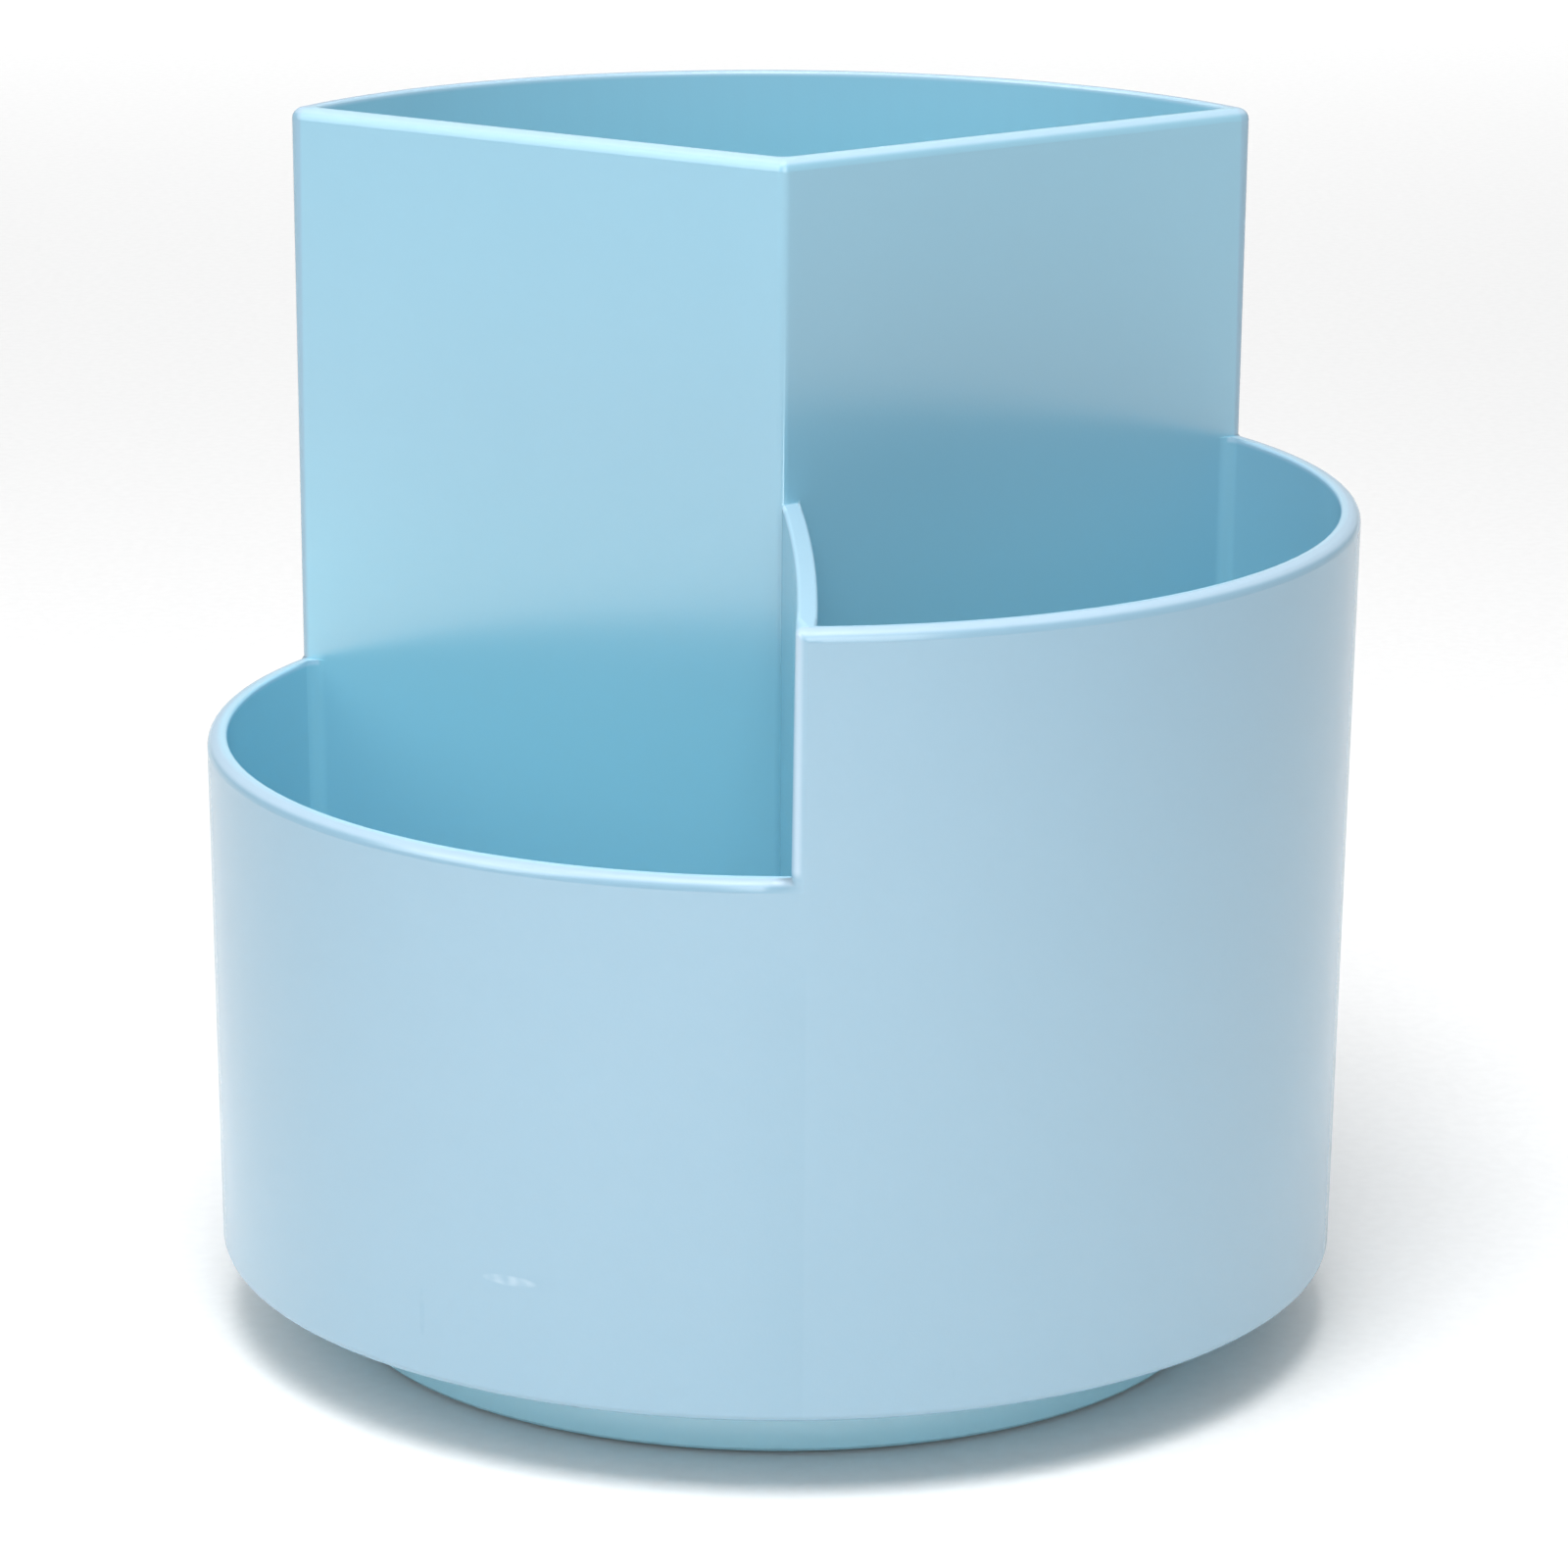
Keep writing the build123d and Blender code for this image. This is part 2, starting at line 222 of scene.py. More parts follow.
def plan(height):
    """Outlines of the walls and floors at a height, by name."""
    out, thin = cup_radius(height), divider_half(height)
    inn = out - wall
    corner, edge, back, tall_inside = tall_outlines(height)
    nook, root, v_end = nook_arc(height), divider_root(height), on_v(v_half(height), out)
    left_corner, left_edge, left_nook = mirrored(corner), mirrored(edge), mirrored(nook)[::-1]
    left_v_end = mirrored([v_end])[0]
    low_end = divider_meets(bow_radius - thin, out)
    low_corner = divider_meets(bow_radius - thin, inn)
    medium_corner = divider_meets(bow_radius + thin, inn)
    divider_left = turn(bow_centre, edge[0], low_corner, divider_steps)
    divider_right = turn(bow_centre, medium_corner, root, divider_steps)
    medium_inside = turn(axis, medium_corner, nook[0], room_steps) + nook
    low_inside = left_nook + turn(axis, left_nook[-1], low_corner, room_steps)
    low_arc = turn(axis, left_v_end, low_end, arc_steps)
    medium_arc = turn(axis, low_end, v_end, arc_steps)
    divider = divider_right + edge[::-1] + divider_left
    return {
        "tall right": edge + [root, nook[-1]] + corner + back + tall_inside,
        "tall left": left_edge + left_nook[:1] + left_corner + mirrored(back + tall_inside),
        "medium": medium_arc + corner[:1] + medium_inside[::-1] + divider + [low_end],
        "medium end": [v_end] + corner,
        "low": low_arc + [low_corner] + low_inside[::-1] + left_corner[:1],
        "low end": [left_v_end] + left_corner,
        "medium floor": medium_inside + [root] + divider_right[::-1],
        "low floor": low_inside + divider_left[::-1] + left_edge,
        "tall floor": tall_inside + mirrored(tall_inside)[::-1],
    }


for name, outline in plan(medium_rim).items():
    print(name, len(outline), "points")

# %% [markdown]
# Each outline becomes one face, and faces drawn next to each other are welded into one sheet. Separate objects for the
# walls would be simpler, but the real cup is a single moulding, and only a welded sheet rises without gaps. A material
# index marks each face for now, so that the walls can be told apart and raised to their own rims.

# %% The plan as a sheet
FLOOR, LOW, MEDIUM, TALL = range(4)
marks = {"tall right": TALL, "tall left": TALL, "medium": MEDIUM, "medium end": MEDIUM, "low": LOW, "low end": LOW}
weld = 0.001


def drawn(bm, outline, mark, height):
    """One face from its outline, seen from above."""
    corners = [p for p, q in zip(outline, outline[1:] + outline[:1]) if (p - q).length > weld]
    face = bm.faces.new([bm.verts.new((p.x * MM, p.y * MM, height * MM)) for p in corners])
    face.material_index = mark
    face.normal_update()
    if face.normal.z < 0:
        face.normal_flip()


bm = bmesh.new()
for name, outline in plan(floor_top).items():
    drawn(bm, outline, marks.get(name, FLOOR), floor_top)
bmesh.ops.remove_doubles(bm, verts=bm.verts, dist=weld * MM)
floors = [face for face in bm.faces if face.material_index == FLOOR]
print("plan:", len(bm.faces), "faces,", len(bm.verts), "corners")

# %% [markdown]
# Extruding lifts faces and leaves a wall behind each of their edges. All walls go up to the low rim together. Then the
# low ones stay behind and the rest goes on, first to the medium rim and last, with the tall compartment alone, to the
# top. The faces an extrusion starts from stay inside the walls, so they are deleted each time. At each rim every
# corner moves to its own place in the plan of that height, which is found through its place in the plan below.

# %% Raise the walls
def raised(bm, faces, below, height):
    """Extrudes faces to a height, into the plan of that height, and returns the new ones."""
    made = bmesh.ops.extrude_face_region(bm, geom=faces)["geom"]
    bmesh.ops.delete(bm, geom=faces, context="FACES")
    places = [point for outline in plan(height).values() for point in outline]
    old = [point for outline in plan(below).values() for point in outline]
    near = KDTree(len(old))
    for index, point in enumerate(old):
        near.insert((point.x, point.y, 0), index)
    near.balance()
    for vert in (item for item in made if isinstance(item, bmesh.types.BMVert)):
        index = near.find((vert.co.x / MM, vert.co.y / MM, 0))[1]
        vert.co = (places[index].x * MM, places[index].y * MM, height * MM)
    return [item for item in made if isinstance(item, bmesh.types.BMFace)]


walls = raised(bm, [face for face in bm.faces if face.material_index != FLOOR], floor_top, low_rim)
low_top = [face for face in walls if face.material_index == LOW]
walls = raised(bm, [face for face in walls if face.material_index != LOW], low_rim, medium_rim)
medium_top = [face for face in walls if face.material_index == MEDIUM]
tall_top = raised(bm, [face for face in walls if face.material_index == TALL], medium_rim, tall_rim)
print("shell:", len(bm.faces), "faces")

# %% [markdown]
# Under the cup are a rounded foot, a skirt that hides the gap to the base, a ring rib, the groove that the balls run
# in, and the spigot with the hole for its screw. All of it is round, so one outline of radius and height says
# everything. It is worked out from the sizes rather than drawn by eye, because the groove has to fit the balls.

# %% Outline of the underside
foot_round = 0.8
underside = 12.5
ring_rib_outer, ring_rib_inner, ring_rib_foot = 49.1, 47.5, 9.0
groove_place, groove_round = Vector((30.0, 10.93)), 2.4
spigot_radius, spigot_fillet, spigot_chamfer = 6.0, 1.2, 0.4
pilot_radius, pilot_depth = 1.95, 9.0
spigot_end = cup_low[2] / MM
skirt = cup_radius(foot)


def arc(place, radius, start, end, count):
    """Points of an arc in an outline of radius and height, with angles in degrees."""
    angles = [radians(start + (end - start) * i / count) for i in range(count + 1)]
    return [(place[0] + radius * cos(a), place[1] + radius * sin(a)) for a in angles]


def groove_angle(depth):
    """Angle in degrees at which the ball groove meets a flat face that lies a distance from its centre."""
    return degrees(atan2(depth, (groove_round**2 - depth**2) ** 0.5))


upper_angle = groove_angle(underside - groove_place.y)
profile = (
    arc((skirt - foot_round, foot + foot_round), foot_round, 0, -90, count=5)
    + [(skirt - wall, foot), (skirt - wall, underside), (ring_rib_outer, underside), (ring_rib_outer, ring_rib_foot)]
    + [(ring_rib_inner, ring_rib_foot), (ring_rib_inner, underside)]
    + arc(groove_place, groove_round, upper_angle, 180 - upper_angle, count=8)
    + arc((spigot_radius + spigot_fillet, underside - spigot_fillet), spigot_fillet, 90, 180, count=5)
    + [(spigot_radius, spigot_end + spigot_chamfer), (spigot_radius - spigot_chamfer, spigot_end)]
    + [(pilot_radius, spigot_end), (pilot_radius, spigot_end + pilot_depth)]
)
print("outline of the underside:", len(profile), "points, the groove starts at", round(upper_angle, 1), "degrees")

# %% [markdown]
# A spun outline would give round rings, but its points wouldn't meet those of the walls above. So the open edge of the
# shell is carried down and inwards, ring by ring. Each ring is one extrusion, put at its own radius and height, and
# the last one is closed with a face, the bottom of the screw's hole.

# %% Foot and underside
ring = [edge for edge in bm.edges if edge.is_boundary]
for radius, height in profile:
    made = bmesh.ops.extrude_edge_only(bm, edges=ring)["geom"]
    ring = [edge for edge in made if isinstance(edge, bmesh.types.BMEdge)]
    for vert in (item for item in made if isinstance(item, bmesh.types.BMVert)):
        vert.co.xy = vert.co.xy.normalized() * radius * MM
        vert.co.z = height * MM
bmesh.ops.contextual_create(bm, geom=ring)
print("rings under the cup:", len(profile))

# %% [markdown]
# No edge of a moulding is sharp. On this cup the outside of each rim is rolled over with more than a millimetre, while
# the edge on the inside is crisp and catches the light as a thin line. The floors meet the walls in a curve. Each edge
# could be beveled by itself, but where two bevels meet, only one made in one go has a clean corner. So a Bevel
# modifier does all of them, and each edge carries a weight, its share of the full width.
#
# The edges could be picked by hand, but a script needs rules. An edge of a rim lies inside or outside by where its
# side faces, seen from a place in the middle of the room. Where a rim runs into the tall wall its last edges stay
# without a weight, because a rounding would have nowhere to end.

# %% Edges of the rims
rooms = {TALL: Vector((0, 25, 0)), MEDIUM: Vector((25, -15, 0)), LOW: Vector((-25, -15, 0))}
tops = {face: face.material_index for face in low_top + medium_top + tall_top}
at_wall, at_v, at_end, clear_of_divider = 1.0, 3.2, 0.3, 20.0
v_end_y = on_v(v_half_at_tall, cup_radius(low_rim)).y - at_end


def before_v(place):
    """How many millimetres a place lies in front of the middle of the V."""
    return (Vector((abs(place.x), place.y)) / MM - Vector((0, v_apex))).dot(off_v)


def kind_at_rim(top, side, middle):
    """Which rounding the edge between a rim's top and its side gets, or None."""
    mark, radius = tops[top], middle.xy.length / MM
    if side.calc_center_median().z > middle.z:
        return None
    if mark != TALL and middle.y / MM > v_end_y and radius > outer_at_medium - at_wall:
        return None
    if (rooms[mark] * MM - middle).dot(side.normal) > 0:
        ends_at_v = mark != TALL and radius > clear_of_divider and before_v(middle) < at_v
        return None if ends_at_v else "inside"
    return "crest" if mark == MEDIUM and radius < outer_at_medium - wall - at_wall else "outside"


print("rims:", len(tops), "faces")

# %% [markdown]
# The other rounded edges are those of the floors and the long upright one of the step, where the medium wall ends over
# the low rim. The step and the outsides get the full width of 1.2 mm, the thin crest of the divider and the inner
# edges a part of it. The floors stay just narrower than the rounded corners of their rooms, or the curve would fold.

# %% Weights of the rounded edges
full_round = 1.2
weights = {"outside": 1.0, "crest": 0.3, "inside": 0.25, "step": 1.0, "floor": 0.9}
step_place = Vector((-0.7, -cup_radius(low_rim)))
at_step, step_height = 1.5, 10.0


def kind_of(edge):
    """Which rounding an edge gets, or None."""
    middle = (edge.verts[0].co + edge.verts[1].co) / 2
    marked = [face for face in edge.link_faces if face in tops]
    if len(marked) == 1:
        side = next(face for face in edge.link_faces if face not in tops)
        return kind_at_rim(marked[0], side, middle)
    if any(face in floors for face in edge.link_faces):
        return "floor"
    low, high = sorted(vert.co.z / MM for vert in edge.verts)
    upright = high - low > step_height and low > low_rim - at_wall
    return "step" if upright and (middle.xy / MM - step_place).length < at_step else None


bevel_weight = bm.edges.layers.float.new("bevel_weight_edge")
bmesh.ops.recalc_face_normals(bm, faces=bm.faces)
found = dict.fromkeys(weights, 0)
for edge in bm.edges:
    kind = kind_of(edge)
    if kind:
        edge[bevel_weight] = weights[kind]
        found[kind] += 1
print("rounded edges:", found)

# %% [markdown]
# Eighteen thin ribs stiffen the floor from below, between the ring rib and the skirt. They could be joined to the
# moulding with a Boolean, which would cut up the smooth faces round them. Each is a small block instead, which reaches
# half a millimetre or more into what carries it, so that no gap shows.

# %% Ribs under the floor
rib, rib_count, overlap, short_by = 1.6, 18, 0.5, 1.0


def block(bm, low, high, angle):
    """A box from its two corners in millimetres, turned about the upright axis."""
    size = Vector(high) - Vector(low)
    middle = (Vector(high) + Vector(low)) / 2
    place = Matrix.Rotation(angle, 4, "Z") @ Matrix.Translation(middle * MM) @ Matrix.Diagonal((*(size * MM), 1))
    bmesh.ops.create_cube(bm, size=1, matrix=place)


rib_start = ((ring_rib_outer + ring_rib_inner) / 2, -rib / 2, ring_rib_foot + short_by)
rib_end = (skirt - wall / 2, rib / 2, underside + overlap)
for number in range(rib_count):
    block(bm, rib_start, rib_end, 2 * pi * number / rib_count)
print("ribs under the cup:", rib_count)

# %% [markdown]
# The drawn shape becomes an object. All faces are shaded smooth, and only edges steeper than a given angle stay sharp.
# The Bevel modifier then rounds the weighted edges with five segments each. Next to such a narrow rounding, smooth
# shading would bend the light on the large flat faces too, so a Weighted Normal modifier lets the large faces win.

# %% The cup
def finished(bm, name, crease, rounding=0):
    """Turns the drawn shape into an object with soft shading that stays sharp at edges over an angle in degrees."""
    bmesh.ops.recalc_face_normals(bm, faces=bm.faces)
    for face in bm.faces:
        face.smooth = True
        face.material_index = 0
    mesh = bpy.data.meshes.new(name)
    bm.to_mesh(mesh)
    bm.free()
    mesh.set_sharp_from_angle(angle=radians(crease))
    piece = bpy.data.objects.new(name, mesh)
    bpy.context.scene.collection.objects.link(piece)
    if rounding:
        bevel = piece.modifiers.new("Rounded edges", "BEVEL")
        bevel.limit_method = "WEIGHT"
        bevel.width = rounding * MM
        bevel.segments = 5
        bevel.use_clamp_overlap = False
    flat = piece.modifiers.new("Flat faces", "WEIGHTED_NORMAL")
    flat.keep_sharp = True
    print(name, len(mesh.polygons), "faces")
    return piece


cup = finished(bm, "cup_skin", crease=40, rounding=full_round)
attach(cup, "cup")
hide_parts("pen_cup")

# %% [markdown]
# The base is an upturned dish: a ring that stands on the desk, a plate with the lower ball groove, and a hub in the
# middle. It could be lathed with a Screw modifier, but the spin operator closes its own seam. The outline is drawn
# once, from the bore over the plate, round the ring and back along the underside.

# %% Outline of the base
dish_low, dish_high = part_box("base_dish")
plate_top, dish_foot, plate_thick = dish_high[2] / MM, dish_low[2] / MM, 2.4
plate = plate_top - plate_thick
base_radius, base_wall, base_chamfer, base_round, base_lean = 45.2, 2.0, 0.4, 1.5, tan(radians(1.5))
base_inner = base_radius - base_wall
base_at_top = base_radius - (plate_top - dish_foot) * base_lean
race_radius, race_rib_half, race_rib_depth = 30.0, 0.8, 2.6
hub_radius, bore_radius, hub_foot = 11.0, 7.5, 5.2
lower_groove = Vector((race_radius, 11.57))
lower_angle = groove_angle(lower_groove.y - plate_top)
dish_profile = (
    [(bore_radius, plate_top)]
    + arc(lower_groove, groove_round, 180 + lower_angle, 360 - lower_angle, count=8)
    + arc((base_at_top - base_round, plate_top - base_round), base_round, 90, 0, count=6)
    + [(base_radius - base_chamfer * base_lean, dish_foot + base_chamfer), (base_radius - base_chamfer, dish_foot)]
    + [(base_inner + base_chamfer, dish_foot), (base_inner, dish_foot + base_chamfer)]
    + [(base_inner - (plate - dish_foot) * base_lean, plate), (race_radius + race_rib_half, plate)]
    + [(race_radius + race_rib_half, plate - race_rib_depth), (race_radius - race_rib_half, plate - race_rib_depth)]
    + [(race_radius - race_rib_half, plate), (hub_radius, plate), (hub_radius, hub_foot), (bore_radius, hub_foot)]
)
print("outline of the base:", len(dish_profile), "points")

# %% [markdown]
# Below the plate are eight ribs and four bosses, each with a round pocket that a rubber pad sits in. A boss is spun
# about its own upright axis. Its outline starts and ends on that axis, so the spin makes one point many times over
# there, and a merge by distance closes the pole.

# %% The base
dish_rib_count, dish_rib_depth = 8, 3.6
boss_count, boss_radius, boss_reach = 4, 6.5, 36
pocket_radius, pocket_depth = 5.1, 1.0
dish_steps, boss_steps = 160, 48


def spun(bm, profile, about, steps):
    """Turns a closed profile of radius and height about an upright axis."""
    centre = (about[0] * MM, about[1] * MM, 0)
    verts = [bm.verts.new((centre[0] + radius * MM, centre[1], height * MM)) for radius, height in profile]
    pairs = zip(verts, verts[1:] + verts[:1], profile, profile[1:] + profile[:1])
    edges = [bm.edges.new((low, high)) for low, high, (r, _), (next_r, _) in pairs if r + next_r > 0]
    bmesh.ops.spin(bm, geom=verts + edges, cent=centre, axis=(0, 0, 1), angle=2 * pi, steps=steps, use_merge=True)
    bmesh.ops.remove_doubles(bm, verts=bm.verts, dist=weld * MM)


bm = bmesh.new()
spun(bm, dish_profile, (0, 0), dish_steps)
rib_start = (hub_radius - overlap, -rib / 2, plate - dish_rib_depth)
rib_end = (base_inner + overlap, rib / 2, plate + overlap)
for number in range(dish_rib_count):
    block(bm, rib_start, rib_end, 2 * pi * number / dish_rib_count)
boss_profile = [(boss_radius, plate + overlap), (boss_radius, dish_foot), (pocket_radius, dish_foot)]
boss_profile += [(pocket_radius, dish_foot + pocket_depth), (0, dish_foot + pocket_depth), (0, plate + overlap)]
for number in range(boss_count):
    angle = 2 * pi * (number + 0.5) / boss_count
    spun(bm, boss_profile, (boss_reach * cos(angle), boss_reach * sin(angle)), boss_steps)
dish = finished(bm, "base_skin", crease=35)
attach(dish, "base")
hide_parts("base_dish")

# %% [markdown]
# ## Materials
# A material is a tree of nodes, and shader maths is hard to read as a list of nodes and links. A small class keeps it
# readable. It stands for one output of the tree: sums, differences and products of outputs add Math nodes, and one
# method adds any other node. Colours go through Mix nodes, because a Math node would turn them grey.

# %% A wrapper for node outputs
class Wire:
    """One output of a material's node tree."""

    def __init__(self, socket):
        self.socket = socket

    def node(self, kind, settings, inputs, output=0):
        """Adds a node, sets it up, feeds its inputs and returns one of its outputs."""
        made = self.socket.id_data.nodes.new(kind)
        for name, value in settings.items():
            setattr(made, name, value)
        for name, value in inputs.items():
            if isinstance(value, Wire):
                self.socket.id_data.links.new(value.socket, made.inputs[name])
            else:
                made.inputs[name].default_value = value
        return Wire(made.outputs[output])

    def math(self, operation, *values):
        """A Math node on wires and numbers."""
        return self.node("ShaderNodeMath", {"operation": operation}, dict(enumerate(values)))

    def __add__(self, other):
        return self.math("ADD", self, other)

    def __sub__(self, other):
        return self.math("SUBTRACT", self, other)

    def __rsub__(self, other):
        return self.math("SUBTRACT", other, self)

    def __mul__(self, other):
        return self.math("MULTIPLY", self, other)

    def __abs__(self):
        return self.math("ABSOLUTE", self)

    __radd__ = __add__
    __rmul__ = __mul__

    def larger(self, other):
        """The larger of this value and another."""
        return self.math("MAXIMUM", self, other)

    def part(self, which):
        """One coordinate of this place: 0 is x, 1 is y and 2 is z."""
        return self.node("ShaderNodeSeparateXYZ", {}, {0: self}, which)

    def ramp(self, low, high):
        """0 below low and 1 above high, with a soft change between."""
        settings = {"interpolation_type": "SMOOTHSTEP"}
        return self.node("ShaderNodeMapRange", settings, {"Value": self, "From Min": low, "From Max": high})

    def blend(self, first, second):
        """Colour between two others, by this value."""
        return self.node("ShaderNodeMix", {"data_type": "RGBA"}, {0: self, 6: first, 7: second}, 2)

    def noise(self, scale, detail=2.0, stretch=(1, 1, 1), tilt=(0, 0, 0)):
        """Soft noise at this place, from 0 to 1, optionally stretched and tilted."""
        mapped = self.node("ShaderNodeMapping", {}, {"Vector": self, "Scale": stretch, "Rotation": tilt})
        return self.node("ShaderNodeTexNoise", {}, {"Vector": mapped, "Scale": scale, "Detail": detail})


print("a wire can be joined by", ", ".join(name for name in vars(Wire) if not name.startswith("_")))

# %% [markdown]
# Every material here starts alike: a Principled shader with its constant values, and the wire of the object
# coordinates, which stay with the piece when it turns. A relief of a few thousandths of a millimetre goes through a
# Bump node. It could be real geometry, but at that size it would take millions of faces.

# %% Helpers for materials
def new_material(name, **constants):
    """A material with a Principled shader. Returns it with its shader and the wire of object coordinates."""
    material = bpy.data.materials.new(name)
    material.use_nodes = True
    shader = material.node_tree.nodes["Principled BSDF"]
    for key, value in constants.items():
        shader.inputs[key.replace("_", " ")].default_value = value
    coordinates = material.node_tree.nodes.new("ShaderNodeTexCoord")
    return material, shader, Wire(coordinates.outputs["Object"])


def feed(shader, name, wire):
    """Joins a wire to an input of the shader."""
    shader.id_data.links.new(wire.socket, shader.inputs[name])


def bumped(shader, height, distance):
    """Gives the shader a relief of a height in metres."""
    feed(shader, "Normal", height.node("ShaderNodeBump", {}, {"Height": height, "Distance": distance}))


def paint(piece, material):
    """Puts a material on a piece made here."""
    piece.data.materials.clear()
    piece.data.materials.append(material)
    print(material.name, "on", piece.name, "with", len(material.node_tree.nodes), "nodes")


# %% [markdown]
# Both mouldings are polypropylene with a satin finish that still reflects the room softly. One flat colour would look
# like paint. Real plastic has a very fine grain from the mould, here a third of a millimetre wide, and its tone drifts
# slowly where the melt flowed upwards, so that noise is stretched along the height. Both also vary the roughness.

# %% Satin plastic
flow_scale, cloud_scale, grain_scale = 26.0, 9.0, 3200.0
grain_depth = 0.006 * MM
smoothest, rough_grain, rough_flow = 0.16, 0.05, 0.04
flow_share = 0.6


def satin_plastic(name, seed):
    """Plastic without its colour yet. Returns it with its shader, its place and the slow drift of its tone."""
    material, shader, place = new_material(name, IOR=1.8, Specular_IOR_Level=0.9)
    flow = place.noise(flow_scale, 3.0, stretch=(1, 1, 0.25), tilt=(0.2, 0.1, seed))
    cloud = place.noise(cloud_scale, 2.0, tilt=(seed, 0, 0))
    grain = place.noise(grain_scale, 2.0)
    feed(shader, "Roughness", smoothest + grain * rough_grain + flow * rough_flow)
    bumped(shader, grain, grain_depth)
    drift = (flow * flow_share + cloud * (1 - flow_share)).ramp(0.25, 0.75)
    return material, shader, place, drift


base_plastic, shader, place, drift = satin_plastic("Base plastic", seed=2.1)
# The base is painted a much lighter blue than the cup's plastic: painted light that makes up for the shade under the
# cup.
lit_dish_blue = (0.43, 0.79, 0.93, 1)
lit_dish_deep = (0.42, 0.78, 0.92, 1)
feed(shader, "Base Color", drift.blend(lit_dish_deep, lit_dish_blue))
paint(dish, base_plastic)

# %% [markdown]
# The cup's blue is painted by how the light falls on it. What faces the room, the outside and the upper part of
# the V, is painted a darker, greyer blue, painted shade with a painted grey sheen, and the rooms keep a brighter
# blue, painted light where little light reaches. The zones could be painted as vertex colours, but the faces are far
# too large for a soft change. So each zone is a mask, worked out from the place: its distance from the axis, its
# height and how far it lies behind the V.

# %% Painted sheen and shade on the cup
def mm(*values):
    """Millimetres as metres."""
    return [value * MM for value in values]


def from_axis(place):
    """Distance from the upright axis."""
    across, along = place.part(0), place.part(1)
    squares = across * across + along * along
    return squares.math("SQRT", squares)


def behind_v(place):
    """Distance behind the middle of the V's walls, below 0 in front of them."""
    return place.part(1) - abs(place.part(0)) * tan(v_angle) - v_apex * MM


outer_wall, v_faces = mm(56.4, 57.2), mm(-0.3, 0.3)
# The V gets the painted sheen and shade between these heights, at this share.
sheen_and_shade_heights, v_sheen_and_shade = mm(55, 95), 0.6


def sheen_and_shade_side(place):
    """1 on the faces that see the room, which get the painted sheen and shade, 0 deep inside the compartments."""
    front = 1 - behind_v(place).ramp(*v_faces)
    return from_axis(place).ramp(*outer_wall).larger(front * place.part(2).ramp(*sheen_and_shade_heights) * v_sheen_and_shade)


print("painted sheen and shade where the radius is over", outer_wall[0] / MM, "mm, and on the V above", sheen_and_shade_heights[0] / MM, "mm")

# %% [markdown]
# The tops of the rims, the crest of the divider and the edge of the step get a painted highlight, a paler colour where
# they catch the light. Edges could be found with a Bevel node, but that finds all of them, also those that catch no
# light. The rims' heights are known exactly, so narrow bands of height find them here, limited to the walls that end
# there.

# %% Painted highlight on the rims
starts, full, fades, ends = -0.7, -0.3, 0.1, 0.2
low_walls, wall_top = mm(-2.1, -1.8), mm(54.2, 54.7)
rim_end, step_edge = mm(-1.0, -0.5), mm(-0.4, 0.2)


def at_rim(height, rim):
    """1 from just below a rim to just above it."""
    return height.ramp(*mm(rim + starts, rim + full)) * (1 - height.ramp(*mm(rim + fades, rim + ends)))


def rims(place):
    """Painted highlight: 1 on the tops of the three rims, the crest of the divider and the edge of the step."""
    across, height = place.part(0), place.part(2)
    tall, medium, low = (at_rim(height, rim) for rim in (tall_rim, medium_rim, low_rim))
    wall_only = from_axis(place).ramp(*wall_top)
    left = wall_only * (1 - across.ramp(*rim_end))
    step = wall_only * (1 - across.ramp(*step_edge)) * height.ramp(*mm(low_rim, low_rim + 1))
    return tall + (medium + low * left).larger(step) * (1 - behind_v(place).ramp(*low_walls))


print("painted highlight at", [round(rim, 1) for rim in (low_rim, medium_rim, tall_rim)], "mm")

# %% [markdown]
# Three small marks are added. Where the divider meets the front wall from behind, the thicker plastic shrinks to a
# faint sink line, a shallow dent whose shade is painted here, and low on the wall a pale smear and a thin scratch show
# that the cup has been used. An image could hold such marks, but a procedural mark stays sharp at any size: an oval,
# broken up by noise.

# %% Small marks
front_wall, below_rim = mm(-53, -51), mm(50, 56)
sink_fade, sink_end = mm(-8, 0.3), mm(0.3, 0.7)
front_half, smear_scale = mm(-40, -35), 500.0
oval_edge, holes = (0.3, 1.0), (0.30, 0.60)


def painted_sink_shade(place):
    """Painted shade of the sink line: 1 along the divider's root on the front wall, fading out to its left."""
    across, along, height = (place.part(which) for which in range(3))
    on_front = (1 - along.ramp(*front_wall)) * (1 - height.ramp(*below_rim))
    return across.ramp(*sink_fade) * (1 - across.ramp(*sink_end)) * on_front


def smear(place, middle, half_width, half_height):
    """1 inside a broken up oval on the front of the cup, 0 around it. Its measures are in millimetres."""
    across = (place.part(0) - middle[0] * MM) * (1 / (half_width * MM))
    upward = (place.part(2) - middle[1] * MM) * (1 / (half_height * MM))
    inside = 1 - (across * across + upward * upward).ramp(*oval_edge)
    broken = place.noise(smear_scale, 1.0).ramp(*holes)
    return inside * broken * (1 - place.part(1).ramp(*front_half))


cup_plastic, shader, place, drift = satin_plastic("Satin blue plastic", seed=0.7)
# The painted shade of the sink line, then the two marks of use.
sink = painted_sink_shade(place)
rubbed = smear(place, (-27.2, 20.3), half_width=2.8, half_height=0.6)
scratch = smear(place, (-35.7, 15.0), half_width=0.3, half_height=3.0)
print("nodes for the marks:", len(cup_plastic.node_tree.nodes))
